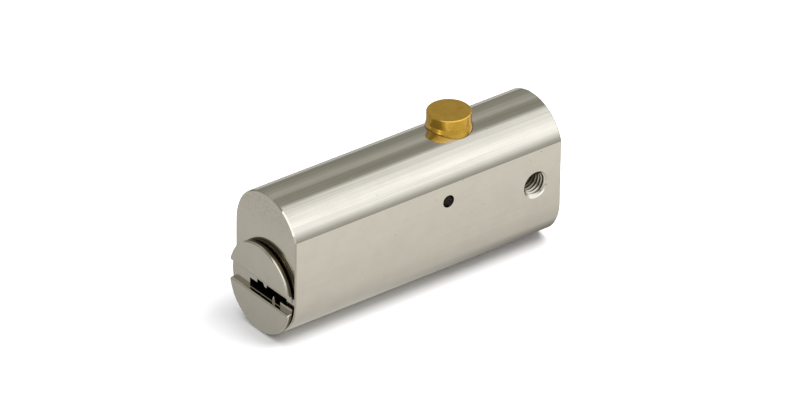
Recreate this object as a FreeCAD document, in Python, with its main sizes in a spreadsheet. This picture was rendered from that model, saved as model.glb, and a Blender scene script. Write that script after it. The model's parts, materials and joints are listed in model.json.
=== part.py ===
import FreeCAD, Part
import math
import os
import Sketcher

# Filing cabinet lock. An oval body holds a round plug that a key turns, and a pin on the rear
# of the plug draws a round brass bolt down out of the cabinet's locking bar.
# +Y runs from the key end to the rear, +Z points the way the bolt stands out, and the tapped
# fixing hole is on the +X side. The origin is where the plug's axis meets the body's front face.
# All sizes are in millimetres.

SIZES = {
    # Oval body: flat sides, a half round below with a narrow flat to stand on, and a round on top
    # that runs smoothly into the left side, is shifted to the right and meets that side at an edge
    "body_width": 18.0,
    "top_round_height": 10.1,
    "top_round_shift": 0.25,
    "standing_flat_depth": 0.04,
    "body_edge_break": 0.25,
    # Plug and its head, which stands out in front of the body
    "plug_diameter": 12.8,
    "plug_clearance": 0.05,
    "head_diameter": 17.9,
    "head_stand": 1.6,
    "head_gap": 0.25,
    "head_rim_round": 0.4,
    "head_rear_chamfer": 0.35,
    "plug_rear_chamfer": 0.4,
    # Slot across the head
    "head_slot_top": 1.9,
    "head_slot_bottom": 1.7,
    "head_slot_depth": 1.0,
    "head_slot_round": 0.45,
    # Keyway, seen from the front: it is closed on the left and open through the right rim
    "keyway_past_chambers": 3.0,
    "keyway_left": 3.8,
    "keyway_floor": 1.6,
    "keyway_low_roof": 0.15,
    "keyway_roof": 0.9,
    "keyway_step": 1.65,
    "keyway_tooth_left": 0.55,
    "keyway_tooth_right": 1.2,
    "keyway_tooth_tip": 0.27,
    "keyway_tooth_slope": 0.4,
    "keyway_barb_left": 2.9,
    "keyway_barb_right": 3.7,
    "keyway_barb_foot": 1.3,
    "keyway_barb_drop": 0.35,
    "keyway_mouth": 5.3,
    "keyway_mouth_drop": 0.65,
    # Row of pin chambers above the plug
    "chamber_first": 7.5,
    "chamber_pitch": 4.0,
    "chamber_diameter": 3.0,
    "chamber_seat": 2.4,
    "pin_clearance": 0.05,
    "pin_chamfer": 0.3,
    "shear_gap": 0.06,
    "key_pin_sink": 0.12,
    "key_pin_nose_diameter": 1.9,
    "key_pin_nose_length": 2.9,
    "driver_length": 4.0,
    "driver_spring_room": 5.89,
    # Plugs, cover and pins that are pressed in from outside
    "chamber_plug_gap": 0.2,
    "plug_sink": 0.15,
    "pressed_pin_chamfer": 0.15,
    # How far each key pin can drop from the shear line, front to rear
    "key_pin_drop_1": 0.9,
    "key_pin_drop_2": 1.4,
    "key_pin_drop_3": 0.6,
    "key_pin_drop_4": 1.2,
    "key_pin_drop_5": 0.8,
    # Retaining pin from below, which also stops the plug after a quarter turn
    "retaining_pin_past_chambers": 6.0,
    "plug_rear_past_retaining_pin": 4.5,
    "retaining_pin_diameter": 2.5,
    "retaining_pin_reach": 1.3,
    "retaining_groove_room": 0.2,
    # Drive pin on the rear of the plug
    "drive_pin_diameter": 3.0,
    "drive_pin_grip": 5.0,
    "drive_pin_reach": 4.7,
    "drive_pin_clearance": 0.12,
    # Bolt: a round end that stands out, a slightly wider guided shank and an oblong foot
    "bolt_diameter": 8.4,
    "bolt_stand": 2.85,
    "shank_step": 0.18,
    "shank_taper": 0.85,
    "bolt_travel": 4.0,
    "bolt_clearance": 0.06,
    "bolt_edge_chamfer": 0.15,
    "foot_behind_plug": 0.8,
    "foot_length": 14.0,
    "foot_width": 10.0,
    "foot_floor": 1.88,
    "foot_clearance": 0.1,
    "foot_bottom_gap": 0.15,
    "pocket_roof_room": 1.6,
    # Cross pin that the bolt's foot stops against, seen as the small dark hole
    "stop_pin_past_foot_front": 0.1,
    "stop_pin_height": 9.6,
    "stop_pin_diameter": 2.5,
    "stop_pin_sink": 2.0,
    "stop_pin_gap": 0.05,
    # Tapped fixing hole near the rear
    "wall_before_fixing_hole": 3.8,
    "wall_behind_fixing_hole": 3.5,
    "fixing_hole_height": 5.8,
    "fixing_hole_diameter": 5.0,
    "fixing_hole_depth": 12.0,
    "fixing_hole_countersink": 5.5,
    # Springs
    "bolt_spring_diameter": 4.2,
    "bolt_spring_wire": 0.6,
    "bolt_spring_room": 0.2,
    "bolt_spring_top": 7.0,
    "driver_spring_diameter": 2.7,
    "driver_spring_wire": 0.35,
    "spring_end_gap": 0.03,
}
PIN_COUNT = 5
BOLT_SPRING_TURNS = 8
DRIVER_SPRING_TURNS = 6
POINTS_PER_TURN = 16
LEAST_TURN_GAP = 0.4
QUARTER_TURN = 90
COUNTERSINK_ANGLE = 90
DRILL_POINT_ANGLE = 118
ROUGH_SIZE = 10.0
SAME = 1e-4

doc = FreeCAD.newDocument("filing_cabinet_lock")
sizes = doc.addObject("Spreadsheet::Sheet", "sizes")
for row, (name, number) in enumerate(SIZES.items(), start=1):
    sizes.set("A%d" % row, name)
    sizes.set("B%d" % row, str(number))
    sizes.setAlias("B%d" % row, name)
doc.recompute()

# Places across the body that several pieces share, as formulas of the sheet
HALF_WIDTH = "(sizes.body_width / 2)"
TOP_RADIUS = "(%s + sizes.top_round_shift)" % HALF_WIDTH
RIDGE = "(sizes.top_round_height + %s)" % TOP_RADIUS
SUNK_BOTTOM = "(sizes.plug_sink - %s)" % HALF_WIDTH
BORE_RADIUS = "(sizes.plug_diameter / 2 + sizes.plug_clearance)"
DRIVER_BOTTOM = "(%s + sizes.shear_gap)" % BORE_RADIUS
DRIVER_TOP = "(%s + sizes.driver_length)" % DRIVER_BOTTOM
CHAMBER_TOP = "(%s + sizes.driver_spring_room)" % DRIVER_TOP
KEY_PIN_TOP = "(sizes.plug_diameter / 2 - sizes.key_pin_sink)"
PIN_RADIUS = "(sizes.chamber_diameter / 2 - sizes.pin_clearance)"
NOSE_RADIUS = "(sizes.key_pin_nose_diameter / 2)"
GROOVE_FLOOR = "(sizes.plug_diameter / 2 - sizes.retaining_pin_reach - sizes.retaining_groove_room)"
DRIVE_PIN_OFFSET = "(sizes.bolt_travel / 2)"
DRIVE_SLOT_HALF = "(sizes.drive_pin_diameter / 2 + sizes.drive_pin_clearance)"
BOLT_TOP = "(%s + sizes.bolt_stand)" % RIDGE
SHANK_RADIUS = "(sizes.bolt_diameter / 2 + sizes.shank_step)"
FOOT_TOP = "(sizes.stop_pin_height - sizes.stop_pin_diameter / 2 - sizes.stop_pin_gap)"
FOOT_BOTTOM = "(%s - %s - sizes.foot_floor)" % (DRIVE_PIN_OFFSET, DRIVE_SLOT_HALF)
POCKET_ROOF = "(%s + sizes.pocket_roof_room)" % FOOT_TOP
COVER_TOP = "(%s - sizes.bolt_travel - sizes.foot_bottom_gap)" % FOOT_BOTTOM

# Distances behind the front face, each from the one before
LAST_CHAMBER = "(sizes.chamber_first + %d * sizes.chamber_pitch)" % (PIN_COUNT - 1)
RETAINING_PIN = "(%s + sizes.retaining_pin_past_chambers)" % LAST_CHAMBER
PLUG_REAR = "(%s + sizes.plug_rear_past_retaining_pin)" % RETAINING_PIN
FOOT_FRONT = "(%s + sizes.foot_behind_plug)" % PLUG_REAR
STOP_PIN = "(%s + sizes.stop_pin_past_foot_front)" % FOOT_FRONT
DRIVE_SLOT_END = "(%s + sizes.drive_pin_reach + sizes.drive_pin_clearance)" % PLUG_REAR
BOLT_AXIS = "(%s + sizes.foot_length / 2)" % FOOT_FRONT
POCKET_REAR = "(%s + sizes.foot_length + sizes.foot_clearance)" % FOOT_FRONT
FIXING_HOLE = "(%s + sizes.wall_before_fixing_hole + sizes.fixing_hole_diameter / 2)" % POCKET_REAR
BODY_REAR = "(%s + sizes.fixing_hole_diameter / 2 + sizes.wall_behind_fixing_hole)" % FIXING_HOLE


def value(formula):
    """A formula of the sheet as a number."""
    return float(sizes.evalExpression(formula))


def chamber_distance(index):
    """Distance of a pin chamber behind the front face, as a formula."""
    return "(sizes.chamber_first + %d * sizes.chamber_pitch)" % (index - 1)


def new_body(name):
    body = doc.addObject("PartDesign::Body", name)
    body.Label = name
    return body


def sketch_on(body, name, role, offset="0"):
    """A sketch on one of the body's own origin planes, moved along the plane's normal."""
    plane = [feature for feature in body.Origin.OriginFeatures if feature.Role == role][0]
    sketch = body.newObject("Sketcher::SketchObject", name)
    sketch.AttachmentSupport = [(plane, "")]
    sketch.MapMode = "FlatFace"
    sketch.setExpression("AttachmentOffset.Base.z", offset)
    return sketch


def hold(sketch, constraint, formula):
    """Adds a constraint whose size follows a formula of the sheet."""
    index = sketch.addConstraint(constraint)
    sketch.setExpression("Constraints[%d]" % index, formula)


def place_point(sketch, geometry, point, across, up):
    hold(sketch, Sketcher.Constraint("DistanceX", -1, 1, geometry, point, 1.0), across)
    hold(sketch, Sketcher.Constraint("DistanceY", -1, 1, geometry, point, 1.0), up)


def add_circle(sketch, across, up, radius):
    start = Part.Circle(FreeCAD.Vector(1, 1, 0), FreeCAD.Vector(0, 0, 1), 1.0)
    circle = sketch.addGeometry(start, False)
    hold(sketch, Sketcher.Constraint("Radius", circle, 1.0), radius)
    place_point(sketch, circle, 3, across, up)


def add_outline(sketch, corners):
    """A closed outline of straight lines through corners given as pairs of formulas."""
    count = len(corners)
    rough = []
    for index in range(count):
        turn = 2 * math.pi * index / count
        rough.append(FreeCAD.Vector(math.cos(turn), math.sin(turn), 0) * ROUGH_SIZE)
    first = sketch.GeometryCount
    for index in range(count):
        sketch.addGeometry(Part.LineSegment(rough[index], rough[(index + 1) % count]), False)
    for index in range(count):
        following = first + (index + 1) % count
        sketch.addConstraint(Sketcher.Constraint("Coincident", first + index, 2, following, 1))
    for index, (across, up) in enumerate(corners):
        place_point(sketch, first + index, 1, across, up)


def add_rectangle(sketch, left, right, low, high):
    add_outline(sketch, [(left, low), (right, low), (right, high), (left, high)])


def add_obround(sketch, middle, length, width):
    """A slot shape with round ends, long way up the sketch, its middle at a height."""
    rough = ROUGH_SIZE
    half = rough / 2
    normal = FreeCAD.Vector(0, 0, 1)
    ends = []
    for side in (-1, 1):
        low_angle = math.pi if side < 0 else 0.0
        circle = Part.Circle(FreeCAD.Vector(0, rough * side, 0), normal, half)
        arc = Part.ArcOfCircle(circle, low_angle, low_angle + math.pi)
        ends.append(sketch.addGeometry(arc, False))
    lower, upper = ends
    right_line = Part.LineSegment(FreeCAD.Vector(half, -rough, 0), FreeCAD.Vector(half, rough, 0))
    left_line = Part.LineSegment(FreeCAD.Vector(-half, rough, 0), FreeCAD.Vector(-half, -rough, 0))
    right = sketch.addGeometry(right_line, False)
    left = sketch.addGeometry(left_line, False)
    for first, first_end, second, second_end in (
        (lower, 2, right, 1), (right, 2, upper, 1), (upper, 2, left, 1), (left, 2, lower, 1)
    ):
        sketch.addConstraint(Sketcher.Constraint("Tangent", first, first_end, second, second_end))
    sketch.addConstraint(Sketcher.Constraint("Vertical", right))
    hold(sketch, Sketcher.Constraint("Radius", lower, half), "(%s) / 2" % width)
    reach = "((%s) - (%s)) / 2" % (length, width)
    place_point(sketch, lower, 3, "0", "(%s) - %s" % (middle, reach))
    place_point(sketch, upper, 3, "0", "(%s) + %s" % (middle, reach))


def pad(body, name, sketch, length, reverse=False):
    feature = body.newObject("PartDesign::Pad", name)
    feature.Profile = sketch
    feature.Reversed = reverse
    feature.setExpression("Length", length)
    return checked(body, feature)


def pocket(body, name, sketch, length=None, reverse=False):
    """Cuts against the sketch's normal, to a depth or right through."""
    feature = body.newObject("PartDesign::Pocket", name)
    feature.Profile = sketch
    feature.Reversed = reverse
    if length is None:
        feature.Type = "ThroughAll"
    else:
        feature.setExpression("Length", length)
    before = body.Shape.Volume
    checked(body, feature)
    if feature.Shape.Volume > before - SAME:
        raise RuntimeError("%s of %s cuts nothing" % (name, body.Label))
    return feature


def checked(body, feature):
    body.Tip = feature
    doc.recompute()
    if "Invalid" in feature.State or "Error" in feature.State or feature.Shape.isNull():
        raise RuntimeError("%s of %s failed" % (feature.Name, body.Label))
    return feature


def revolution(body, name, sketch, axis):
    feature = body.newObject("PartDesign::Revolution", name)
    feature.Profile = sketch
    feature.ReferenceAxis = (sketch, [axis])
    feature.Angle = 360
    return checked(body, feature)


def edge_names(shape, wanted):
    """Names of the edges that a test picks out."""
    return ["Edge%d" % (i + 1) for i, edge in enumerate(shape.Edges) if wanted(edge)]


def dress(body, kind, name, base, names, prop, formula):
    """A fillet or chamfer on named edges."""
    feature = body.newObject("PartDesign::" + kind, name)
    feature.Base = (base, names)
    feature.setExpression(prop, formula)
    return checked(body, feature)


def lies_at(edge, axis, place):
    """Whether an edge lies in the plane across an axis at a place."""
    box = edge.BoundBox
    low, high = {"x": (box.XMin, box.XMax), "y": (box.YMin, box.YMax), "z": (box.ZMin, box.ZMax)}[axis]
    return abs(low - place) < 1e-3 and abs(high - place) < 1e-3


def turned_piece(name, corners, place, tilt=None):
    """A round piece turned about its own upright axis, from an outline of radius and height."""
    body = new_body(name)
    sketch = sketch_on(body, name + "_outline", "XZ_Plane")
    add_outline(sketch, corners)
    revolution(body, name + "_turned", sketch, "V_Axis")
    if tilt is not None:
        body.Placement.Rotation = tilt
    for axis, formula in zip("xyz", place):
        body.setExpression("Placement.Base." + axis, formula)
    return body


def round_pin(name, diameter, length, chamfer, place, tilt=None):
    """A straight pin from its place upwards, chamfered at both ends."""
    radius = "(%s) / 2" % diameter
    corners = [
        ("0", "0"),
        ("%s - %s" % (radius, chamfer), "0"),
        (radius, chamfer),
        (radius, "%s - %s" % (length, chamfer)),
        ("%s - %s" % (radius, chamfer), length),
        ("0", length),
    ]
    return turned_piece(name, corners, place, tilt)


def make_lock_body():
    body = new_body("lock_body")
    section = sketch_on(body, "body_section", "XZ_Plane")
    half = value(HALF_WIDTH)
    rise = value("sizes.top_round_height")
    radius = value(TOP_RADIUS)
    shift = radius - half
    corner = rise + math.sqrt(radius ** 2 - (half - shift) ** 2)
    start = math.atan2(corner - rise, half - shift)
    normal = FreeCAD.Vector(0, 0, 1)
    top_circle = Part.Circle(FreeCAD.Vector(shift, rise, 0), normal, radius)
    low_circle = Part.Circle(FreeCAD.Vector(0, 0, 0), normal, half)
    right_line = Part.LineSegment(FreeCAD.Vector(half, 0, 0), FreeCAD.Vector(half, corner, 0))
    left_line = Part.LineSegment(FreeCAD.Vector(-half, rise, 0), FreeCAD.Vector(-half, 0, 0))
    right = section.addGeometry(right_line, False)
    top = section.addGeometry(Part.ArcOfCircle(top_circle, start, math.pi), False)
    left = section.addGeometry(left_line, False)
    low = section.addGeometry(Part.ArcOfCircle(low_circle, math.pi, 2 * math.pi), False)
    for first, second in ((right, top), (left, low), (low, right)):
        section.addConstraint(Sketcher.Constraint("Coincident", first, 2, second, 1))
    section.addConstraint(Sketcher.Constraint("Tangent", top, 2, left, 1))
    section.addConstraint(Sketcher.Constraint("Vertical", right))
    section.addConstraint(Sketcher.Constraint("Vertical", left))
    section.addConstraint(Sketcher.Constraint("PointOnObject", right, 1, -1))
    section.addConstraint(Sketcher.Constraint("PointOnObject", left, 2, -1))
    section.addConstraint(Sketcher.Constraint("Coincident", low, 3, -1, 1))
    hold(section, Sketcher.Constraint("Radius", low, half), HALF_WIDTH)
    hold(section, Sketcher.Constraint("Radius", top, radius), TOP_RADIUS)
    rise_constraint = Sketcher.Constraint("DistanceY", -1, 1, top, 3, rise)
    hold(section, rise_constraint, "sizes.top_round_height")
    bar = pad(body, "body_bar", section, BODY_REAR, reverse=True)

    # The rims of both end faces are broken
    length = value(BODY_REAR)
    rims = edge_names(bar.Shape, lambda edge: lies_at(edge, "y", 0) or lies_at(edge, "y", length))
    dress(body, "Chamfer", "rim_break", bar, rims, "Size", "sizes.body_edge_break")

    flat_height = "sizes.standing_flat_depth - %s" % HALF_WIDTH
    past_rear = "%s + sizes.body_width" % BODY_REAR
    flat = sketch_on(body, "standing_flat_outline", "XY_Plane", flat_height)
    add_rectangle(flat, "-" + HALF_WIDTH, HALF_WIDTH, "-" + HALF_WIDTH, past_rear)
    pocket(body, "standing_flat", flat)

    # Blind bore for the plug and its drive pin, from the front
    bore = sketch_on(body, "plug_bore_circle", "XZ_Plane")
    add_circle(bore, "0", "0", BORE_RADIUS)
    pocket(body, "plug_bore", bore, DRIVE_SLOT_END)

    # Oblong pocket for the bolt's foot, milled from below, and the bolt's hole above it
    foot = sketch_on(body, "foot_pocket_outline", "XY_Plane", POCKET_ROOF)
    foot_length = "sizes.foot_length + 2 * sizes.foot_clearance"
    foot_width = "sizes.foot_width + 2 * sizes.foot_clearance"
    add_obround(foot, BOLT_AXIS, foot_length, foot_width)
    pocket(body, "foot_pocket", foot)
    bolt_hole = sketch_on(body, "bolt_hole_circle", "XY_Plane")
    add_circle(bolt_hole, "0", BOLT_AXIS, "%s + sizes.bolt_clearance" % SHANK_RADIUS)
    pocket(body, "bolt_hole", bolt_hole, reverse=True)

    # Pin chambers, drilled from below so that the top stays whole
    chambers = sketch_on(body, "chamber_circles", "XY_Plane", CHAMBER_TOP)
    for index in range(1, PIN_COUNT + 1):
        add_circle(chambers, "0", chamber_distance(index), "sizes.chamber_diameter / 2")
    pocket(body, "chambers", chambers)

    retaining = sketch_on(body, "retaining_hole_circle", "XY_Plane")
    retaining_radius = "sizes.retaining_pin_diameter / 2"
    add_circle(retaining, "0", RETAINING_PIN, retaining_radius)
    pocket(body, "retaining_hole", retaining)

    # Cross hole through both flats
    cross = sketch_on(body, "cross_hole_circle", "YZ_Plane", "sizes.body_width")
    add_circle(cross, STOP_PIN, "sizes.stop_pin_height", "sizes.stop_pin_diameter / 2")
    pocket(body, "cross_hole", cross)

    # Tapped hole, drawn at its nominal size, with a countersunk mouth
    fixing = sketch_on(body, "fixing_hole_circle", "YZ_Plane", HALF_WIDTH)
    add_circle(fixing, FIXING_HOLE, "sizes.fixing_hole_height", "sizes.fixing_hole_diameter / 2")
    doc.recompute()
    hole = body.newObject("PartDesign::Hole", "fixing_hole")
    hole.Profile = fixing
    hole.Threaded = False
    hole.setExpression("Diameter", "sizes.fixing_hole_diameter")
    hole.DepthType = "Dimension"
    hole.setExpression("Depth", "sizes.fixing_hole_depth")
    hole.HoleCutType = "Countersink"
    hole.setExpression("HoleCutDiameter", "sizes.fixing_hole_countersink")
    hole.HoleCutCountersinkAngle = COUNTERSINK_ANGLE
    hole.DrillPoint = "Angled"
    hole.DrillPointAngle = DRILL_POINT_ANGLE
    before = body.Shape.Volume
    checked(body, hole)
    if hole.Shape.Volume > before - SAME:
        raise RuntimeError("the fixing hole cuts nothing")
    return body


def make_plug():
    body = new_body("plug")
    profile = sketch_on(body, "plug_profile", "YZ_Plane")
    head_radius = "sizes.head_diameter / 2"
    plug_radius = "sizes.plug_diameter / 2"
    rear_chamfer = "sizes.head_rear_chamfer"
    chamfer = "sizes.plug_rear_chamfer"
    add_outline(profile, [
        ("-sizes.head_stand", "0"),
        ("-sizes.head_stand", head_radius),
        ("-sizes.head_gap - %s" % rear_chamfer, head_radius),
        ("-sizes.head_gap", "%s - %s" % (head_radius, rear_chamfer)),
        ("-sizes.head_gap", plug_radius),
        ("%s - %s" % (PLUG_REAR, chamfer), plug_radius),
        (PLUG_REAR, "%s - %s" % (plug_radius, chamfer)),
        (PLUG_REAR, "0"),
    ])
    turned = revolution(body, "plug_turned", profile, "H_Axis")

    # Full slot across the head, then its long edges and the rim are rounded as polishing does
    slot = sketch_on(body, "head_slot_outline", "XZ_Plane", "sizes.head_stand")
    slot_end = "sizes.head_diameter"
    add_rectangle(slot, "-" + slot_end, slot_end, "-sizes.head_slot_bottom", "sizes.head_slot_top")
    cut = pocket(body, "head_slot", slot, "sizes.head_slot_depth")
    front = -value("sizes.head_stand")
    rim = value(head_radius)

    def is_rim(edge):
        curve = edge.Curve
        return lies_at(edge, "y", front) and curve.TypeId == "Part::GeomCircle" and (
            abs(curve.Radius - rim) < 1e-3)

    def is_slot_edge(edge):
        return lies_at(edge, "y", front) and edge.Curve.TypeId == "Part::GeomLine"

    rounded = dress(body, "Fillet", "slot_round", cut, edge_names(cut.Shape, is_slot_edge),
                    "Radius", "sizes.head_slot_round")
    dress(body, "Fillet", "rim_round", rounded, edge_names(rounded.Shape, is_rim),
          "Radius", "sizes.head_rim_round")

    # Keyway with its wards
    keyway = sketch_on(body, "keyway_outline", "XZ_Plane", "sizes.head_stand")
    past_rim = "sizes.head_diameter"
    barb_middle = "(sizes.keyway_barb_left + sizes.keyway_barb_right) / 2"
    add_outline(keyway, [
        ("-sizes.keyway_left", "-sizes.keyway_floor"),
        ("sizes.keyway_barb_left", "-sizes.keyway_floor"),
        ("sizes.keyway_barb_left", "-sizes.keyway_barb_foot"),
        (barb_middle, "-sizes.keyway_barb_drop"),
        ("sizes.keyway_barb_right", "-sizes.keyway_barb_foot"),
        ("sizes.keyway_barb_right", "-sizes.keyway_floor"),
        ("sizes.keyway_mouth", "-sizes.keyway_floor"),
        ("sizes.keyway_mouth", "-sizes.keyway_mouth_drop"),
        (past_rim, "-sizes.keyway_mouth_drop"),
        (past_rim, "sizes.keyway_roof"),
        ("sizes.keyway_tooth_right", "sizes.keyway_roof"),
        ("sizes.keyway_tooth_right", "sizes.keyway_tooth_tip"),
        ("sizes.keyway_tooth_left", "sizes.keyway_tooth_tip"),
        ("sizes.keyway_tooth_left - sizes.keyway_tooth_slope", "sizes.keyway_roof"),
        ("-sizes.keyway_step", "sizes.keyway_roof"),
        ("-sizes.keyway_step", "sizes.keyway_low_roof"),
        ("-sizes.keyway_left", "sizes.keyway_low_roof"),
    ])
    keyway_length = "sizes.head_stand + %s + sizes.keyway_past_chambers" % LAST_CHAMBER
    pocket(body, "keyway", keyway, keyway_length)

    # Chambers of the key pins: wide down to a seat, narrow on into the keyway
    wide = sketch_on(body, "key_chamber_circles", "XY_Plane", "sizes.chamber_seat")
    narrow = sketch_on(body, "key_nose_circles", "XY_Plane")
    for index in range(1, PIN_COUNT + 1):
        add_circle(wide, "0", chamber_distance(index), "sizes.chamber_diameter / 2")
        nose_hole = "%s + sizes.pin_clearance" % NOSE_RADIUS
        add_circle(narrow, "0", chamber_distance(index), nose_hole)
    pocket(body, "key_chambers", wide, reverse=True)
    pocket(body, "key_nose_holes", narrow, "sizes.chamber_seat", reverse=True)

    make_retaining_groove(body)

    # Hole in the rear face for the drive pin
    drive = sketch_on(body, "drive_hole_circle", "XZ_Plane", "-" + PLUG_REAR)
    drive_radius = "sizes.drive_pin_diameter / 2"
    add_circle(drive, DRIVE_PIN_OFFSET, DRIVE_PIN_OFFSET, drive_radius)
    pocket(body, "drive_hole", drive, "sizes.drive_pin_grip", reverse=True)
    return body


def make_retaining_groove(body):
    """Quarter-turn groove, from below round to the right side, for the retaining pin."""
    sketch = sketch_on(body, "retaining_groove_outline", "YZ_Plane")
    halfway = FreeCAD.Rotation(FreeCAD.Vector(1, 0, 0), -QUARTER_TURN / 2)
    sketch.AttachmentOffset = FreeCAD.Placement(FreeCAD.Vector(0, 0, 0), halfway)
    half_width = "(sizes.retaining_pin_diameter + sizes.retaining_groove_room) / 2"
    front = "%s - %s" % (RETAINING_PIN, half_width)
    rear = "%s + %s" % (RETAINING_PIN, half_width)
    add_rectangle(sketch, front, rear, "-sizes.plug_diameter", "-" + GROOVE_FLOOR)
    groove = body.newObject("PartDesign::Groove", "retaining_groove")
    groove.Profile = sketch
    groove.ReferenceAxis = (sketch, ["H_Axis"])
    groove.Midplane = True
    room = "2 * asin(%s / %s)" % (half_width, GROOVE_FLOOR)
    groove.setExpression("Angle", "%d deg + %s" % (QUARTER_TURN, room))
    before = body.Shape.Volume
    checked(body, groove)
    if groove.Shape.Volume > before - SAME:
        raise RuntimeError("the retaining groove cuts nothing")


def make_bolt():
    body = new_body("bolt")
    foot = sketch_on(body, "foot_outline", "XY_Plane", FOOT_BOTTOM)
    add_obround(foot, BOLT_AXIS, "sizes.foot_length", "sizes.foot_width")
    pad(body, "foot", foot, "%s - %s" % (FOOT_TOP, FOOT_BOTTOM))

    # Shank and round end, turned about the last edge of their outline, which is the bolt's axis
    shank = sketch_on(body, "shank_outline", "YZ_Plane")
    shank_side = "%s + %s" % (BOLT_AXIS, SHANK_RADIUS)
    end_side = "%s + sizes.bolt_diameter / 2" % BOLT_AXIS
    chamfer = "sizes.bolt_edge_chamfer"
    corners = [
        (BOLT_AXIS, FOOT_TOP),
        (shank_side, FOOT_TOP),
        (shank_side, RIDGE),
        (end_side, "%s + sizes.shank_taper" % RIDGE),
        (end_side, "%s - %s" % (BOLT_TOP, chamfer)),
        ("%s - %s" % (end_side, chamfer), BOLT_TOP),
        (BOLT_AXIS, BOLT_TOP),
    ]
    add_outline(shank, corners)
    revolution(body, "shank", shank, "Edge%d" % len(corners))

    # Level slot that the drive pin runs in, open at the front and on both sides
    slot = sketch_on(body, "drive_slot_outline", "YZ_Plane", "sizes.foot_width")
    slot_low = "%s - %s" % (DRIVE_PIN_OFFSET, DRIVE_SLOT_HALF)
    slot_high = "%s + %s" % (DRIVE_PIN_OFFSET, DRIVE_SLOT_HALF)
    past_front = "%s - sizes.foot_length" % BOLT_AXIS
    add_rectangle(slot, past_front, DRIVE_SLOT_END, slot_low, slot_high)
    pocket(body, "drive_slot", slot)

    spring_hole = sketch_on(body, "spring_hole_circle", "XY_Plane", "sizes.bolt_spring_top")
    spring_hole_radius = "sizes.bolt_spring_diameter / 2 + sizes.bolt_spring_room"
    add_circle(spring_hole, "0", BOLT_AXIS, spring_hole_radius)
    pocket(body, "spring_hole", spring_hole)
    return body


def make_pocket_cover():
    """Plug of the foot pocket, with its underside following the body's half round."""
    block = new_body("cover_block")
    outline = sketch_on(block, "cover_outline", "XY_Plane", "-" + HALF_WIDTH)
    length = "sizes.foot_length + 2 * sizes.foot_clearance"
    width = "sizes.foot_width + 2 * sizes.foot_clearance"
    add_obround(outline, BOLT_AXIS, length, width)
    pad(block, "cover_pad", outline, "%s + %s" % (HALF_WIDTH, COVER_TOP))
    round_bar = doc.addObject("Part::Cylinder", "cover_round")
    round_bar.setExpression("Radius", "-" + SUNK_BOTTOM)
    round_bar.setExpression("Height", BODY_REAR)
    round_bar.Placement.Rotation = FreeCAD.Rotation(FreeCAD.Vector(1, 0, 0), -90)
    cover = doc.addObject("Part::Common", "bolt_pocket_cover")
    cover.Label = "bolt_pocket_cover"
    cover.Base = block
    cover.Tool = round_bar
    return cover


def make_chamber_plugs():
    """Press-in plugs that close the chambers below the bore, one group of alike pieces."""
    discs = []
    for index in range(1, PIN_COUNT + 1):
        disc = doc.addObject("Part::Cylinder", "chamber_plug_%d" % index)
        disc.setExpression("Radius", "sizes.chamber_diameter / 2")
        top = "-(%s + sizes.chamber_plug_gap)" % BORE_RADIUS
        disc.setExpression("Height", "%s - %s" % (top, SUNK_BOTTOM))
        disc.setExpression("Placement.Base.y", chamber_distance(index))
        disc.setExpression("Placement.Base.z", SUNK_BOTTOM)
        discs.append(disc)
    group = doc.addObject("Part::Compound", "chamber_plugs")
    group.Label = "chamber_plugs"
    group.Links = discs
    return group


def make_key_pin(index):
    shoulder = "(sizes.chamber_seat + sizes.key_pin_drop_%d)" % index
    tip = "(%s - sizes.key_pin_nose_length)" % shoulder
    corners = [
        ("0", tip),
        ("%s - sizes.pin_chamfer" % NOSE_RADIUS, tip),
        (NOSE_RADIUS, "%s + sizes.pin_chamfer" % tip),
        (NOSE_RADIUS, shoulder),
        (PIN_RADIUS, shoulder),
        (PIN_RADIUS, "%s - sizes.pin_chamfer" % KEY_PIN_TOP),
        ("%s - sizes.pin_chamfer" % PIN_RADIUS, KEY_PIN_TOP),
        ("0", KEY_PIN_TOP),
    ]
    return turned_piece("key_pin_%d" % index, corners, ("0", chamber_distance(index), "0"))


def make_driver_pin(index):
    place = ("0", chamber_distance(index), DRIVER_BOTTOM)
    diameter = "2 * %s" % PIN_RADIUS
    return round_pin("driver_pin_%d" % index, diameter, "sizes.driver_length", "sizes.pin_chamfer", place)


def make_plug_retaining_pin():
    high = "(sizes.retaining_pin_reach - sizes.plug_diameter / 2)"
    place = ("0", RETAINING_PIN, SUNK_BOTTOM)
    length = "%s - %s" % (high, SUNK_BOTTOM)
    diameter = "sizes.retaining_pin_diameter"
    return round_pin("plug_retaining_pin", diameter, length, "sizes.pressed_pin_chamfer", place)


def make_bolt_stop_pin():
    across = FreeCAD.Rotation(FreeCAD.Vector(0, 1, 0), 90)
    place = ("sizes.stop_pin_sink - %s" % HALF_WIDTH, STOP_PIN, "sizes.stop_pin_height")
    length = "sizes.body_width - 2 * sizes.stop_pin_sink"
    diameter = "sizes.stop_pin_diameter"
    chamfer = "sizes.pressed_pin_chamfer"
    return round_pin("bolt_stop_pin", diameter, length, chamfer, place, across)


def make_drive_pin():
    rearwards = FreeCAD.Rotation(FreeCAD.Vector(1, 0, 0), -90)
    place = (DRIVE_PIN_OFFSET, "%s - sizes.drive_pin_grip" % PLUG_REAR, DRIVE_PIN_OFFSET)
    length = "sizes.drive_pin_grip + sizes.drive_pin_reach"
    diameter = "sizes.drive_pin_diameter"
    return round_pin("drive_pin", diameter, length, "sizes.pin_chamfer", place, rearwards)


def arc_from(start, direction, end):
    """The arc that leaves a point along a direction and reaches another point."""
    chord = end - start
    along = FreeCAD.Vector(chord).normalize()
    side = direction - along * direction.dot(along)
    bulge = math.tan(direction.getAngle(chord) / 2) * chord.Length / 2
    middle = (start + end) * 0.5 + side.normalize() * bulge
    return Part.Arc(start, middle, end).toShape()


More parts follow.
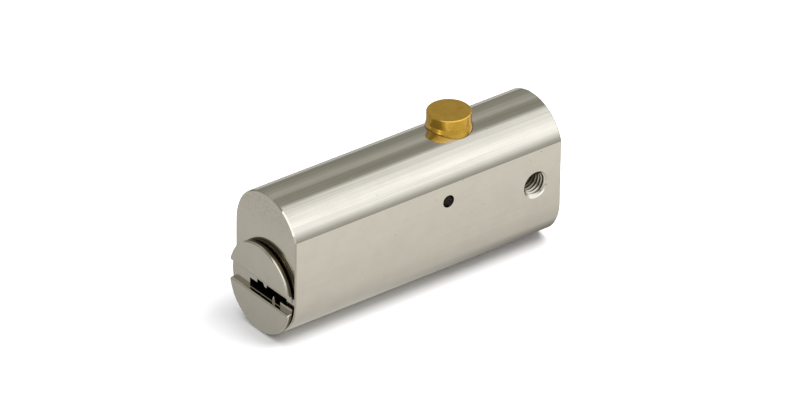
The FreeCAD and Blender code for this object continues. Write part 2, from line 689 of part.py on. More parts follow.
def biarc(start, start_direction, end, end_direction):
    """Two arcs that join two points smoothly, with equal tangent lengths."""
    chord = end - start
    total = start_direction + end_direction
    square = 2 * (1 - start_direction.dot(end_direction))
    linear = chord.dot(total)
    reach = (math.sqrt(linear ** 2 + square * chord.dot(chord)) - linear) / square
    joint = (start + end + (start_direction - end_direction) * reach) * 0.5
    joint_direction = (joint - start) - start_direction * reach
    joint_direction.normalize()
    return [arc_from(start, start_direction, joint), arc_from(joint, joint_direction, end)]


def make_coil(name, outer, wire, low, high, turns, distance):
    """A compression spring, one unbroken tube on quarter-turn biarcs."""
    radius = (outer - wire) / 2
    pitch = (high - low - wire) / turns
    slope = math.atan(pitch / (2 * math.pi * radius))

    def centre(quarter):
        angle = quarter * math.pi / 2
        height = low + wire / 2 + pitch * quarter / 4
        return FreeCAD.Vector(radius * math.cos(angle), radius * math.sin(angle), height)

    def heading(quarter):
        angle = quarter * math.pi / 2
        level = math.cos(slope)
        return FreeCAD.Vector(-level * math.sin(angle), level * math.cos(angle), math.sin(slope))

    arcs = []
    for quarter in range(4 * turns):
        following = quarter + 1
        arcs += biarc(centre(quarter), heading(quarter), centre(following), heading(following))
    path = Part.Wire(arcs)
    ring = Part.Wire(Part.Circle(centre(0), heading(0), wire / 2).toShape())
    spring = doc.addObject("Part::Feature", name)
    spring.Shape = path.makePipeShell([ring], True, False)
    spring.Placement = FreeCAD.Placement(FreeCAD.Vector(0, distance, 0), FreeCAD.Rotation())
    spring.Label = name
    gap = least_turn_gap(path, turns, wire)
    print("%s: least gap between turns %.2f mm" % (name, gap))
    if gap <= LEAST_TURN_GAP:
        raise RuntimeError("the turns of %s lie too close" % name)
    return spring


def least_turn_gap(path, turns, wire):
    """Least free distance between stretches of the wire half a turn or more apart."""
    points = path.discretize(POINTS_PER_TURN * turns + 1)
    gap = points[0].distanceToPoint(points[-1])
    for index, point in enumerate(points):
        for other in points[index + POINTS_PER_TURN // 2:]:
            gap = min(gap, point.distanceToPoint(other))
    return gap - wire


def make_bolt_spring():
    low = value(COVER_TOP + " + sizes.spring_end_gap")
    high = value("sizes.bolt_spring_top - sizes.spring_end_gap")
    outer = value("sizes.bolt_spring_diameter")
    wire = value("sizes.bolt_spring_wire")
    distance = value(BOLT_AXIS)
    return make_coil("bolt_spring", outer, wire, low, high, BOLT_SPRING_TURNS, distance)


def make_driver_spring(index):
    low = value(DRIVER_TOP + " + sizes.spring_end_gap")
    high = value(CHAMBER_TOP + " - sizes.spring_end_gap")
    outer = value("sizes.driver_spring_diameter")
    wire = value("sizes.driver_spring_wire")
    distance = value(chamber_distance(index))
    name = "driver_spring_%d" % index
    return make_coil(name, outer, wire, low, high, DRIVER_SPRING_TURNS, distance)


pieces = [
    make_lock_body(),
    make_plug(),
    make_drive_pin(),
    make_plug_retaining_pin(),
    make_bolt(),
    make_bolt_spring(),
    make_bolt_stop_pin(),
    make_pocket_cover(),
    make_chamber_plugs(),
]
for number in range(1, PIN_COUNT + 1):
    pieces.append(make_key_pin(number))
    pieces.append(make_driver_pin(number))
    pieces.append(make_driver_spring(number))
doc.recompute()

for item in doc.Objects:
    if "Invalid" in item.State or "Error" in item.State:
        raise RuntimeError("%s failed" % item.Name)
for piece in pieces:
    solid_count = PIN_COUNT if piece.Label == "chamber_plugs" else 1
    if piece.Shape.isNull() or not piece.Shape.isValid():
        raise RuntimeError("%s has no valid shape" % piece.Label)
    if len(piece.Shape.Solids) != solid_count:
        raise RuntimeError("%s has %d solids" % (piece.Label, len(piece.Shape.Solids)))

os.makedirs("parts", exist_ok=True)
for piece in pieces:
    piece.Shape.exportStep("parts/%s.step" % piece.Label)
    print("%s: %.1f cubic mm" % (piece.Label, piece.Shape.Volume))
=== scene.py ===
import json
import math

import bpy
from mathutils import Matrix, Vector


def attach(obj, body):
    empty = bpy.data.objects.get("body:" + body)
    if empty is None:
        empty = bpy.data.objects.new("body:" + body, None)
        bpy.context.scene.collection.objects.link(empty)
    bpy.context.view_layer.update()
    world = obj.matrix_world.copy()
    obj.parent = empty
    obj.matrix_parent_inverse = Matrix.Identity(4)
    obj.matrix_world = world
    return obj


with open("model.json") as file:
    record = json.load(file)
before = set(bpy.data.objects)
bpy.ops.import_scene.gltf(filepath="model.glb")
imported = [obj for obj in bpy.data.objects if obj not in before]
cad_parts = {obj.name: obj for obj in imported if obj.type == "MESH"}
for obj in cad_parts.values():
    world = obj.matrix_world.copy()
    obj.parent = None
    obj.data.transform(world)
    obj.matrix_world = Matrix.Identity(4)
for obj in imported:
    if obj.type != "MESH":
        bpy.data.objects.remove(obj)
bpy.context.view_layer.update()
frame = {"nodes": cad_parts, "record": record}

# Filing cabinet lock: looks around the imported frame. Lengths are in metres; MM turns
# millimetres into them.
MM = 0.001
FLOOR_Z = -8.96 * MM
ORIGIN = Vector((0.0, 0.0, 0.0))

# Camera: an orthonormal set of directions and a long lens, fitted to the lock's outline
CAMERA_RIGHT = Vector((0.610716, 0.791782, 0.010309))
CAMERA_UP = Vector((-0.414426, 0.308507, 0.856198))
CAMERA_BACK = Vector((0.674742, -0.527166, 0.516545))
CAMERA_PLACE = Vector((1.1547312, -0.8714351, 0.8889134))
CAMERA_LENS = 421.96
CAMERA_SENSOR = 36.0
CAMERA_NEAR = 0.1
CAMERA_FAR = 20.0

# Floor. Far from the lock the lamps fade, and between the two distances, in millimetres,
# what the camera sees of the floor grows lighter to keep the background white.
FLOOR_HALF = 4.0
FLOOR_COLOUR = (0.86, 0.86, 0.865, 1.0)
FLOOR_SEEN_COLOUR = (0.93, 0.93, 0.94, 1.0)
FLOOR_FAR_COLOUR = (1.50, 1.50, 1.50, 1.0)
FLOOR_FADE = (130.0, 420.0)
SKY_LIGHT = 0.72
WHITE = (1.0, 1.0, 1.0, 1.0)

# Light tent along the lock, as degrees from straight up towards the right, and the brightness
# there: a dim wall with one pale strip on the left, a broad softbox on the right and a dark
# gap above the floor. These steps, and those of the cards below, are coarser forms without
# colours of tables that were fitted to samples of the photograph; each is within 0.1 of them.
TENT_RADIUS = 0.6
TENT_FRONT_RIGHT = -0.32
TENT_FRONT_LEFT = -1.6
TENT_REAR = 2.2
TENT_STEPS = 72
TENT_LIGHT = [(-110, 0.7), (-90, 0.3), (-60, 0.4), (-35, 0.6), (-25, 0.4), (-5, 0.4),
              (5, 1.1), (50, 1.7), (65, 1.4), (85, 0.4), (91, 0.4)]
# Dim light is warm and bright light is neutral
WARM_TINT = (1.0, 0.98, 0.86)
DIM = 0.4
BRIGHT = 1.2

# Cards on the floor that only the metal reflects: grey ones in front and on the left, a pale
# one on the right. Their lights are millimetres from the lock and the brightness there.
CARD_LIFT = 0.1 * MM
CARD_HEIGHT = FLOOR_Z + CARD_LIFT
CARD_REACH = 0.6
CARD_REAR = 0.9
CARD_TINT = (1.0, 0.97, 0.90)
HEAD_FRONT = -1.75 * MM
LEFT_CARD_EDGE = -9.6 * MM
FRONT_CARD_EDGE = 13.0 * MM
PALE_CARD_EDGE = 4.0 * MM
GREY_CARD_LIGHT = [(0.0, 0.50), (16.0, 0.65), (60.0, 0.65)]
SIDE_CARD_LIGHT = [(0.0, 0.40), (60.0, 0.40), (110.0, 0.65), (600.0, 0.65)]
PALE_CARD_LIGHT = [(4.0, 0.60), (12.0, 0.75), (20.0, 0.85), (38.0, 1.00), (45.0, 0.75),
                   (60.0, 0.75)]
# The pale card's shade next to the lock towards the rear: millimetres across, metres along
PALE_CARD_SHADE = (0.24, 0.22, 0.20, 1.0)
SHADE_ACROSS = (9.5, 5.5)
SHADE_ALONG = (20.0 * MM, 60.0 * MM)
# Card on the floor in front on the right, which the front face's right edge reflects
EDGE_CARD_LEFT = 13.0 * MM
EDGE_CARD_REAR = -6.0 * MM
EDGE_CARD_LIGHT = (0.62, 0.59, 0.54, 1.0)

# Upright cards, as left, right, front, low and high. The dark panel is what the bolt's left
# side and the slot's wall reflect, and the small rim card edges the front rim's upper right.
DARK_PANEL_PLACE = (-0.58, 0.46, -0.5, 0.10, 0.55)
DARK_PANEL_LIGHT = (0.41, 0.38, 0.29, 1.0)
RIM_CARD_PLACE = (4.5 * MM, 19.0 * MM, -12.0 * MM, 16.0 * MM, 29.0 * MM)
RIM_CARD_LIGHT = (1.90, 1.86, 1.78, 1.0)
# Softbox in front on the right, whose reflection edges the rims
FRONT_BOX_PLACE = Vector((0.38, -0.62, 0.13))
FRONT_BOX_HALF = 0.26
FRONT_BOX_LIGHT = (0.9, 0.9, 0.9, 1.0)

# Lamps: a wide soft one above as the key, and a weaker one above on the left as the fill
LAMP_TARGET = Vector((0.0, 30.0 * MM, 0.0))
KEY_PLACE = Vector((0.20, 0.29, 0.69))
KEY_SIZE = 0.5
KEY_POWER = 5.2
FILL_PLACE = Vector((-0.24, -0.04, 0.68))
FILL_SIZE = 0.5
FILL_POWER = 1.3

# Noises of the metals: scale, detail, roughness and, where given, distortion. The grain's
# scale is each steel's own.
STREAK_NOISE = (2400.0, 4.0, 0.6)
BAND_NOISE = (1500.0, 3.0, 0.7)
WAVE_NOISE = (130.0, 2.0, 0.5)
PLATE_CLOUD_NOISE = (260.0, 3.0, 0.6)
RING_NOISE = (9000.0, 3.0, 0.6)
ARC_NOISE = (5200.0, 4.0, 0.65)
BRASS_CLOUD_NOISE = (620.0, 4.0, 0.6, 0.4)
GRAIN_NOISE = (4.0, 0.6)
STEEL_CLOUD_NOISE = (500.0, 3.0, 0.5)
# Pits: the scale of their pattern and the distances at which one ends and begins
PIT_SPECKS = (310.0, 0.018, 0.05)

# Depths of the reliefs
WAVE_DEPTH = 0.010 * MM
PIT_DEPTH = 0.012 * MM
RING_DEPTH = 0.006 * MM
ARC_DEPTH = 0.007 * MM
GRAIN_DEPTH = 0.004 * MM

# How the noises are used. In each pair a share starts at the first number and is full at the
# second one.
NOISE_RANGE = (0.3, 0.7)
CLOUD_RANGE = (0.35, 0.65)
BRASS_CLOUD_RANGE = (0.38, 0.66)
# The bands are painted reflection: darker lengthwise bands on the top round, fullest at the top
BAND_RANGE = (0.40, 0.72)
BAND_HEIGHT = (12.5 * MM, 15.5 * MM)
BAND_LOW_SHARE = 0.15
ARC_RANGE = (0.46, 0.62)
ARC_TARNISH = 0.45
TARNISH = (0.93, 0.80, 0.95)
PIT_SHARE = 0.6
DARK_SHARE = 0.35
GLOSS_LEAST = 0.75
GLOSS_MOST = 1.3

# Stretches of the noises along the three axes, and the turn of the brass's arcs
BODY_STREAKS = (1.0, 0.012, 1.0)
PLUG_STREAKS = (1.0, 1.0, 0.25)
RING_STRETCH = (0.04, 0.04, 1.0)
ARC_STRETCH = (0.08, 1.0, 1.0)
ARC_TURN = (0.0, 0.0, 0.5)
GRAIN_STRETCH = (1.0, 1.0, 0.2)

# Painted shade in the fixing hole, darkest between the crests and deep inside. Reaches are
# millimetres from its axis, depths are millimetres along it and heights are metres; each pair
# again starts a share and fills it.
# Colour of the painted shade, and the roughness where it lies; the head's painted shade shares them
PAINTED_SHADE_COLOUR = (0.085, 0.073, 0.045, 1.0)
PAINTED_SHADE_ROUGHNESS = 0.34
HOLE_MOUTH_REACH = (2.72, 2.62)
HOLE_END_DEPTH = (-3.6, -3.3)
CREST_REACH = (2.12, 2.28)
CREST_DEPTH = (8.60, 8.45)
CREST_HEIGHT = (4.0 * MM, 5.2 * MM)
CREST_LOW_SHARE = 0.55
DEEP_DEPTH = (8.0, 5.6)
DEEP_SHARE = 0.98
# The same painted shade on the head, from the plug's axis: on its side, its rear, the slot's
# walls and the keyway
SIDE_REACH = (8.77, 8.85)
SIDE_DEPTH = (-1.27, -1.03)
REAR_REACH = (6.8, 7.0)
REAR_DEPTH = (-0.50, -0.35)
KEYWAY_DEPTH = (-0.57, -0.45)
KEYWAY_HEIGHT = (1.8 * MM, 1.7 * MM)
WALL_DEPTH = (-1.05, -0.80)
WALL_SHARE = 0.8
WALL_END_DEPTH = (-0.62, -0.66)
WALL_HEIGHT = (1.05 * MM, 1.0 * MM)

# Thread of the fixing hole. The half widths of its root and crest are shares of the pitch,
# and the ease is the share of a turn in which it rises and ends.
THREAD_PLACE = Vector((0.0, 55.2 * MM, 5.8 * MM))
THREAD_START = 9.10 * MM
THREAD_MOUTH = 8.73 * MM
THREAD_END = -2.6 * MM
THREAD_START_ANGLE = math.radians(60.0)
THREAD_EASE = 0.15
THREAD_ROOT = 2.497 * MM
THREAD_CREST = 2.08 * MM
THREAD_PITCH = 0.8 * MM
THREAD_ROOT_HALF = 0.47
THREAD_CREST_HALF = 0.08
THREAD_STEPS = 56


# Helpers

def link_object(name, data):
    piece = bpy.data.objects.new(name, data)
    bpy.context.scene.collection.objects.link(piece)
    return piece


def mesh_piece(name, points, faces, material, smooth):
    mesh = bpy.data.meshes.new(name)
    mesh.from_pydata([tuple(point) for point in points], [], faces)
    mesh.validate()
    if smooth:
        mesh.shade_smooth()
    mesh.materials.append(material)
    return link_object(name, mesh)


class Shader:
    """A material's node tree with short calls for its nodes."""

    def __init__(self, name):
        self.material = bpy.data.materials.new(name)
        self.material.use_nodes = True
        self.tree = self.material.node_tree
        self.tree.nodes.clear()
        self.output = self.tree.nodes.new("ShaderNodeOutputMaterial")

    def add(self, kind, **settings):
        node = self.tree.nodes.new(kind)
        for name, setting in settings.items():
            setattr(node, name, setting)
        return node

    def join(self, start, end):
        self.tree.links.new(start, end)

    def feed(self, node, name, source):
        """Links a socket, or sets a plain value on it."""
        if isinstance(source, bpy.types.NodeSocket):
            self.join(source, node.inputs[name])
        else:
            node.inputs[name].default_value = source

    def math(self, operation, first, *others):
        """One operation on a value, or on a row of values from left to right."""
        for other in others or (None,):
            node = self.add("ShaderNodeMath", operation=operation)
            self.feed(node, 0, first)
            if other is not None:
                self.feed(node, 1, other)
            first = node.outputs[0]
        return first

    def own(self):
        """The object's own coordinates."""
        return self.add("ShaderNodeTexCoord").outputs["Object"]

    def parts(self, vector):
        """A vector's three parts, by the names X, Y and Z."""
        node = self.add("ShaderNodeSeparateXYZ")
        self.join(vector, node.inputs[0])
        return node.outputs

    def place(self, stretch=(1.0, 1.0, 1.0), turn=(0.0, 0.0, 0.0)):
        """The object's own coordinates, stretched and turned."""
        mapping = self.add("ShaderNodeMapping")
        mapping.inputs["Scale"].default_value = stretch
        mapping.inputs["Rotation"].default_value = turn
        self.join(self.own(), mapping.inputs["Vector"])
        return mapping.outputs["Vector"]

    def away_from(self, place, axis):
        """Distance from a line through a place along an axis, and the place along it; both are
        in millimetres."""
        shift = self.add("ShaderNodeVectorMath", operation="SUBTRACT")
        self.join(self.own(), shift.inputs[0])
        shift.inputs[1].default_value = place
        parts = self.parts(shift.outputs[0])
        squares = [self.math("POWER", parts[name], 2.0) for name in "XYZ" if name != axis]
        reach = self.math("SQRT", self.math("ADD", *squares))
        return self.math("DIVIDE", reach, MM), self.math("DIVIDE", parts[axis], MM)

    def noise(self, vector, scale, detail, rough, distortion=0.0):
        node = self.add("ShaderNodeTexNoise")
        self.join(vector, node.inputs["Vector"])
        node.inputs["Scale"].default_value = scale
        node.inputs["Detail"].default_value = detail
        node.inputs["Roughness"].default_value = rough
        node.inputs["Distortion"].default_value = distortion
        return node.outputs["Fac"]

    def specks(self, vector, scale, inner, outer):
        """Small round marks: 1 inside, 0 between them."""
        node = self.add("ShaderNodeTexVoronoi")
        self.join(vector, node.inputs["Vector"])
        node.inputs["Scale"].default_value = scale
        return self.span(node.outputs["Distance"], inner, outer, 1.0, 0.0)

    def span(self, source, low, high, to_low=0.0, to_high=1.0):
        """A value moved from one range into another, and held inside it."""
        node = self.add("ShaderNodeMapRange")
        self.feed(node, "Value", source)
        limits = (("From Min", low), ("From Max", high), ("To Min", to_low), ("To Max", to_high))
        for name, number in limits:
            node.inputs[name].default_value = number
        return node.outputs["Result"]

    def blend(self, share, first, second):
        node = self.add("ShaderNodeMix", data_type="RGBA")
        self.feed(node, 0, share)
        self.feed(node, 6, first)
        self.feed(node, 7, second)
        return node.outputs[2]

    def bump(self, height, depth, normal=None):
        node = self.add("ShaderNodeBump")
        node.inputs["Strength"].default_value = 1.0
        node.inputs["Distance"].default_value = depth
        self.join(height, node.inputs["Height"])
        if normal is not None:
            self.join(normal, node.inputs["Normal"])
        return node.outputs["Normal"]

    def ramp(self, share, lights, tint_at):
        """A light that runs through (place, brightness) steps, with a tint for each."""
        node = self.add("ShaderNodeValToRGB")
        stops = node.color_ramp.elements
        stops.remove(stops[1])
        low, high = lights[0][0], lights[-1][0]
        for place, light in lights:
            stop = stops[0] if place == low else stops.new((place - low) / (high - low))
            stop.position = (place - low) / (high - low)
            stop.color = tuple(light * part for part in tint_at(light)) + (1.0,)
        self.join(share, node.inputs["Fac"])
        return node.outputs["Color"]

    def glow(self, colour):
        node = self.add("ShaderNodeEmission")
        self.feed(node, "Color", colour)
        self.join(node.outputs[0], self.output.inputs["Surface"])
        return self.material

    def metal(self, colour, roughness, normal):
        node = self.add("ShaderNodeBsdfPrincipled")
        node.inputs["Metallic"].default_value = 1.0
        self.feed(node, "Base Color", colour)
        self.feed(node, "Roughness", roughness)
        self.join(normal, node.inputs["Normal"])
        self.join(node.outputs["BSDF"], self.output.inputs["Surface"])
        return self.material


# Materials

def hole_painted_shade(shader):
    """Painted shade in the fixing hole: most between the crests and deep inside, none on the crests
    near the mouth and on the plate."""
    reach, depth = shader.away_from(THREAD_PLACE, "X")
    height = shader.parts(shader.own())["Z"]
    between = shader.math("MULTIPLY", shader.span(reach, *CREST_REACH),
                          shader.span(depth, *CREST_DEPTH),
                          shader.span(height, *CREST_HEIGHT, CREST_LOW_SHARE, 1.0))
    deep = shader.span(depth, *DEEP_DEPTH, 0.0, DEEP_SHARE)
    return shader.math("MULTIPLY", shader.span(reach, *HOLE_MOUTH_REACH),
                       shader.span(depth, *HOLE_END_DEPTH),
                       shader.math("MAXIMUM", between, deep))


def head_painted_shade(shader):
    """Painted shade on the head: on its side behind the front rim, on its rear, on the slot's walls
    and in the keyway; none on its face."""
    reach, depth = shader.away_from(ORIGIN, "Y")
    height = shader.math("ABSOLUTE", shader.parts(shader.own())["Z"])
    side = shader.math("MULTIPLY", shader.span(reach, *SIDE_REACH), shader.span(depth, *SIDE_DEPTH))
    rear = shader.math("MULTIPLY", shader.span(reach, *REAR_REACH), shader.span(depth, *REAR_DEPTH))
    keyway = shader.math("MULTIPLY", shader.span(depth, *KEYWAY_DEPTH),
                         shader.span(height, *KEYWAY_HEIGHT))
    walls = shader.math("MULTIPLY", shader.span(depth, *WALL_DEPTH, 0.0, WALL_SHARE),
                        shader.span(depth, *WALL_END_DEPTH), shader.span(height, *WALL_HEIGHT))
    return shader.math("MAXIMUM", side, rear, keyway, walls)


def nickel(name, colour, shade, gloss, streak_depth, streak_stretch, reflection_band_share, painted_shade_at):
    """Polished plate: buffing streaks, darker bands along them towards the top as painted
    reflection, a faint waviness, tiny pits, a slight clouding and painted shade in one place."""
    shader = Shader(name)
    along = shader.place(streak_stretch)
    everywhere = shader.place()
    streaks = shader.noise(along, *STREAK_NOISE)
    pits = shader.specks(everywhere, *PIT_SPECKS)
    normal = shader.bump(shader.noise(everywhere, *WAVE_NOISE), WAVE_DEPTH)
    normal = shader.bump(streaks, streak_depth, normal)
    normal = shader.bump(shader.math("MULTIPLY", pits, -1.0), PIT_DEPTH, normal)
    clouds = shader.noise(everywhere, *PLATE_CLOUD_NOISE)
    tint = shader.blend(shader.span(clouds, *CLOUD_RANGE), colour, shade)
    dark = tuple(part * DARK_SHARE for part in shade[:3]) + (1.0,)
    tint = shader.blend(shader.math("MULTIPLY", pits, PIT_SHARE), tint, dark)
    # Painted reflection: darker bands along the streaks, mostly towards the top
    bands = shader.span(shader.noise(along, *BAND_NOISE), *BAND_RANGE)
    height = shader.parts(everywhere)["Z"]
    share = shader.span(height, *BAND_HEIGHT, BAND_LOW_SHARE * reflection_band_share, reflection_band_share)
    tint = shader.blend(shader.math("MULTIPLY", bands, share), tint, dark)
    # Painted shade from the hole's or the head's mask: a dark colour, and a higher roughness there
    painted_shade = painted_shade_at(shader)
    tint = shader.blend(painted_shade, tint, PAINTED_SHADE_COLOUR)
    roughness = shader.span(streaks, *NOISE_RANGE, gloss * GLOSS_LEAST, gloss * GLOSS_MOST)
    roughness = shader.math("MAXIMUM", roughness, shader.math("MULTIPLY", painted_shade, PAINTED_SHADE_ROUGHNESS))
    return shader.metal(tint, roughness, normal)


def turned_brass(name, colour, shade, roughness):
    """Turned brass: fine rings round the piece's side, arcs across its end and darker spots."""
    shader = Shader(name)
    rings = shader.noise(shader.place(RING_STRETCH), *RING_NOISE)
    arcs = shader.noise(shader.place(ARC_STRETCH, ARC_TURN), *ARC_NOISE)
    clouds = shader.noise(shader.place(), *BRASS_CLOUD_NOISE)
    normal = shader.bump(arcs, ARC_DEPTH, shader.bump(rings, RING_DEPTH))
    tarnish = tuple(part * share for part, share in zip(colour, TARNISH)) + (1.0,)
    tint = shader.blend(shader.span(clouds, *BRASS_CLOUD_RANGE), colour, shade)
    tint = shader.blend(shader.span(arcs, *ARC_RANGE, 0.0, ARC_TARNISH), tint, tarnish)
    return shader.metal(tint, shader.span(clouds, *NOISE_RANGE, *roughness), normal)


def ground_steel(name, colour, shade, roughness, grain_scale):
    """Ground steel or drawn wire: a fine grain and a slight clouding."""
    shader = Shader(name)
    grain = shader.noise(shader.place(GRAIN_STRETCH), grain_scale, *GRAIN_NOISE)
    clouds = shader.noise(shader.place(), *STEEL_CLOUD_NOISE)
    tint = shader.blend(shader.span(clouds, *CLOUD_RANGE), colour, shade)
    return shader.metal(tint, shader.span(grain, *NOISE_RANGE, *roughness),
                        shader.bump(grain, GRAIN_DEPTH))


def make_materials():
    """One material for each slot of the record."""
    return {
        "nickel_body": nickel(
            "nickel_body", colour=(0.610, 0.588, 0.535, 1.0), shade=(0.590, 0.567, 0.513, 1.0),
            gloss=0.10, streak_depth=0.0016 * MM, streak_stretch=BODY_STREAKS,
            reflection_band_share=0.26, painted_shade_at=hole_painted_shade),
        "nickel_plug": nickel(
            "nickel_plug", colour=(0.590, 0.567, 0.512, 1.0), shade=(0.565, 0.540, 0.484, 1.0),
            gloss=0.16, streak_depth=0.0012 * MM, streak_stretch=PLUG_STREAKS,
            reflection_band_share=0.0, painted_shade_at=head_painted_shade),
        "bolt_brass": turned_brass(
            "bolt_brass", colour=(0.700, 0.445, 0.070, 1.0), shade=(0.600, 0.365, 0.050, 1.0),
            roughness=(0.15, 0.27)),
        "pin_brass": turned_brass(
            "pin_brass", colour=(0.740, 0.520, 0.190, 1.0), shade=(0.620, 0.410, 0.130, 1.0),
            roughness=(0.20, 0.34)),
        # pin_steel's near-black colour is painted shade, so that the small side hole with the stop
        # pin sunk in it reads black
        "pin_steel": ground_steel(
            "pin_steel", colour=(0.085, 0.080, 0.076, 1.0), shade=(0.050, 0.046, 0.043, 1.0),
            roughness=(0.34, 0.50), grain_scale=3200.0),
        "spring_steel": ground_steel(
            "spring_steel", colour=(0.560, 0.555, 0.545, 1.0), shade=(0.430, 0.425, 0.415, 1.0),
            roughness=(0.22, 0.36), grain_scale=5200.0),
    }


def dress_nodes(materials):
    """Every node of the frame gets the detailed material of its slot."""
    for part in frame["record"]["subparts"]:
        node = frame["nodes"][part["node"]]
        node.data.materials.clear()
        node.data.materials.append(materials[part["material_slot"]])


# Details

def make_thread(material):
    """The fixing hole's thread, a right-handed helical ridge on the hole's wall, cut off level
    at the mouth."""
    profile = [(-THREAD_ROOT_HALF, THREAD_ROOT), (-THREAD_CREST_HALF, THREAD_CREST),
               (THREAD_CREST_HALF, THREAD_CREST), (THREAD_ROOT_HALF, THREAD_ROOT)]
    count = int((THREAD_START - THREAD_END) / THREAD_PITCH * THREAD_STEPS)
    ease_steps = THREAD_EASE * THREAD_STEPS
    points, faces = [], []
    for step in range(count + 1):
        angle = THREAD_START_ANGLE - 2 * math.pi * step / THREAD_STEPS
        middle = THREAD_START - THREAD_PITCH * (THREAD_ROOT_HALF + step / THREAD_STEPS)
        ease = min(1.0, step / ease_steps, (count - step) / ease_steps)
        for shift, radius in profile:
            reach = THREAD_ROOT + (radius - THREAD_ROOT) * ease
            across = Vector((0.0, math.cos(angle), math.sin(angle))) * reach
            along = min(THREAD_MOUTH, middle - shift * THREAD_PITCH)
            points.append(THREAD_PLACE + across + Vector((along, 0.0, 0.0)))
    width = len(profile)
    for step in range(count):
        for side in range(width - 1):
            first = step * width + side
            faces.append((first, first + 1, first + width + 1, first + width))
    thread = mesh_piece("fixing_thread", points, faces, material, smooth=False)
    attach(thread, "case")


# Stage, lamps and camera

def make_floor():
    half = FLOOR_HALF
    corners = [(-half, -half, FLOOR_Z), (half, -half, FLOOR_Z), (half, half, FLOOR_Z),
               (-half, half, FLOOR_Z)]
    shader = Shader("floor_white")
    matte = shader.add("ShaderNodeBsdfDiffuse")
    path = shader.add("ShaderNodeLightPath")
    away, _ = shader.away_from(ORIGIN, "Z")
    seen = shader.blend(shader.span(away, *FLOOR_FADE), FLOOR_SEEN_COLOUR, FLOOR_FAR_COLOUR)
    colour = shader.blend(path.outputs["Is Camera Ray"], FLOOR_COLOUR, seen)
    shader.join(colour, matte.inputs["Color"])
    shader.join(matte.outputs[0], shader.output.inputs["Surface"])
    floor = mesh_piece("floor", corners, [(0, 1, 2, 3)], shader.material, smooth=False)


def make_world():
    """A sky that the camera and the metal see as white, and that lights with less."""
    world = bpy.data.worlds.new("studio")
    bpy.context.scene.world = world
    world.use_nodes = True
    tree = world.node_tree
    tree.nodes.clear()
    output = tree.nodes.new("ShaderNodeOutputWorld")
    sky = tree.nodes.new("ShaderNodeBackground")
    sky.inputs["Color"].default_value = WHITE
    path = tree.nodes.new("ShaderNodeLightPath")
    seen = path.outputs["Is Camera Ray"]
    for kind in ("Is Glossy Ray", "Is Transmission Ray"):
        either = tree.nodes.new("ShaderNodeMath")
        either.operation = "ADD"
        either.use_clamp = True
        tree.links.new(seen, either.inputs[0])
        tree.links.new(path.outputs[kind], either.inputs[1])
        seen = either.outputs[0]
    strength = tree.nodes.new("ShaderNodeMapRange")
    strength.inputs["To Min"].default_value = SKY_LIGHT
    strength.inputs["To Max"].default_value = 1.0
    tree.links.new(seen, strength.inputs["Value"])
    tree.links.new(strength.outputs["Result"], sky.inputs["Strength"])
    tree.links.new(sky.outputs[0], output.inputs["Surface"])


def reflected_only(piece):
    """A piece of the stage that lights nothing and shows only in the metal."""
    for kind in ("camera", "diffuse", "transmission", "volume_scatter", "shadow"):
        setattr(piece, "visible_" + kind, False)


def tent_tint(light):
    neutral = min(1.0, max(0.0, (light - DIM) / (BRIGHT - DIM)))
    return tuple(part + (1.0 - part) * neutral for part in WARM_TINT)


def make_tent():
    """A half-round light tent along the lock, which only the metal reflects."""
    low, high = TENT_LIGHT[0][0], TENT_LIGHT[-1][0]
    points, faces = [], []
    for step in range(TENT_STEPS + 1):
        angle = math.radians(low + (high - low) * step / TENT_STEPS)
        front = TENT_FRONT_LEFT if angle < 0 else TENT_FRONT_RIGHT
        for y in (front, TENT_REAR):
            points.append((TENT_RADIUS * math.sin(angle), y, TENT_RADIUS * math.cos(angle)))
    for step in range(TENT_STEPS):
        first = 2 * step
        faces.append((first, first + 1, first + 3, first + 2))
    shader = Shader("tent_light")
    parts = shader.parts(shader.own())
    angle = shader.math("ARCTAN2", parts["X"], parts["Z"])
    share = shader.span(angle, math.radians(low), math.radians(high))
    material = shader.glow(shader.ramp(share, TENT_LIGHT, tent_tint))
    reflected_only(mesh_piece("light_tent", points, faces, material, smooth=True))


def flat_card(name, corners, material):
    reflected_only(mesh_piece(name, corners, [(0, 1, 2, 3)], material, smooth=False))


def floor_card(name, left, right, front, rear, material):
    z = CARD_HEIGHT
    flat_card(name, [(left, front, z), (right, front, z), (right, rear, z), (left, rear, z)],
              material)


def upright_card(name, left, right, front, low, high, material):
    corners = [(left, front, low), (right, front, low), (right, front, high), (left, front, high)]
    flat_card(name, corners, material)


def card_tint(_):
    """The floor's cards have one tint at every brightness."""
    return CARD_TINT


def card_light(name, axis, sign, lights, start, shade=None):
    """A card's light, which changes with the distance from the lock, in millimetres from where
    it starts, and may fade to a shade next to the lock at the rear."""
    shader = Shader(name)
    parts = shader.parts(shader.own())
    away = shader.math("MULTIPLY", parts[axis], sign / MM)
    share = shader.span(away, lights[0][0] + start, lights[-1][0] + start)
    light = shader.ramp(share, lights, card_tint)
    if shade is not None:
        near = shader.span(away, *SHADE_ACROSS)
        far_back = shader.span(parts["Y"], *SHADE_ALONG)
        light = shader.blend(shader.math("MULTIPLY", near, far_back), light, shade)
    return shader.glow(light)


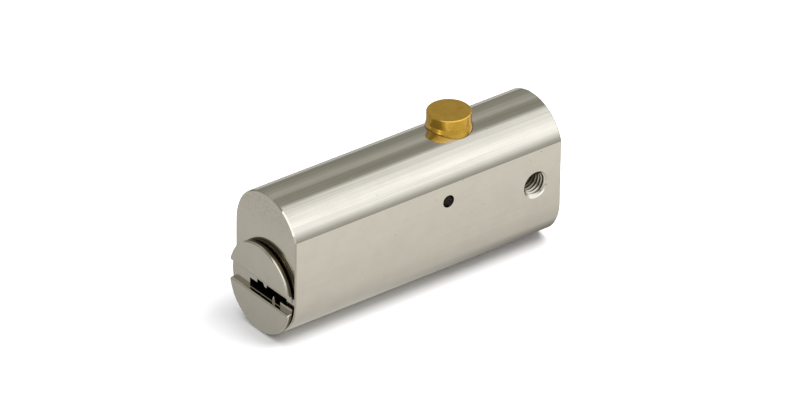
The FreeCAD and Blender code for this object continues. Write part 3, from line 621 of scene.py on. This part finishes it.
def make_cards():
    floor_card("grey_card", -CARD_REACH, FRONT_CARD_EDGE, -CARD_REACH, HEAD_FRONT,
               card_light("grey_card", "Y", -1.0, GREY_CARD_LIGHT, -HEAD_FRONT / MM))
    floor_card("side_card", -CARD_REACH, LEFT_CARD_EDGE, HEAD_FRONT, CARD_REAR,
               card_light("side_card", "X", -1.0, SIDE_CARD_LIGHT, 0.0))
    floor_card("edge_card", EDGE_CARD_LEFT, CARD_REACH, -CARD_REACH, EDGE_CARD_REAR,
               Shader("edge_card").glow(EDGE_CARD_LIGHT))
    floor_card("pale_card", PALE_CARD_EDGE, CARD_REACH, HEAD_FRONT, CARD_REAR,
               card_light("pale_card", "X", 1.0, PALE_CARD_LIGHT, 0.0, PALE_CARD_SHADE))
    upright_card("dark_panel", *DARK_PANEL_PLACE,
                 Shader("dark_panel_light").glow(DARK_PANEL_LIGHT))
    upright_card("rim_card", *RIM_CARD_PLACE, Shader("rim_card_light").glow(RIM_CARD_LIGHT))


def make_front_box():
    """A square softbox that faces the lock."""
    away = FRONT_BOX_PLACE.normalized()
    across = away.cross(Vector((0.0, 0.0, 1.0))).normalized() * FRONT_BOX_HALF
    up = across.cross(away).normalized() * FRONT_BOX_HALF
    corners = [FRONT_BOX_PLACE + across * x + up * z
               for x, z in ((-1, -1), (1, -1), (1, 1), (-1, 1))]
    flat_card("front_box", corners, Shader("front_box_light").glow(FRONT_BOX_LIGHT))


def make_lamp(name, place, size, power):
    """A round lamp turned to the lock, which the metal doesn't reflect."""
    data = bpy.data.lights.new(name, "AREA")
    data.shape = "DISK"
    data.size = size
    data.energy = power
    lamp = link_object(name, data)
    lamp.location = place
    lamp.rotation_mode = "QUATERNION"
    lamp.rotation_quaternion = (place - LAMP_TARGET).to_track_quat("Z", "Y")
    lamp.visible_glossy = False


def make_camera():
    data = bpy.data.cameras.new("camera")
    data.lens = CAMERA_LENS
    data.sensor_width = CAMERA_SENSOR
    data.clip_start = CAMERA_NEAR
    data.clip_end = CAMERA_FAR
    camera = link_object("camera", data)
    turn = Matrix((CAMERA_RIGHT, CAMERA_UP, CAMERA_BACK)).transposed().to_4x4()
    camera.matrix_world = Matrix.Translation(CAMERA_PLACE) @ turn
    bpy.context.scene.camera = camera


materials = make_materials()
dress_nodes(materials)
make_thread(materials["nickel_body"])
make_floor()
make_world()
make_tent()
make_cards()
make_front_box()
make_lamp("key_lamp", KEY_PLACE, KEY_SIZE, KEY_POWER)
make_lamp("fill_lamp", FILL_PLACE, FILL_SIZE, FILL_POWER)
make_camera()
bpy.context.scene.view_settings.view_transform = "Standard"
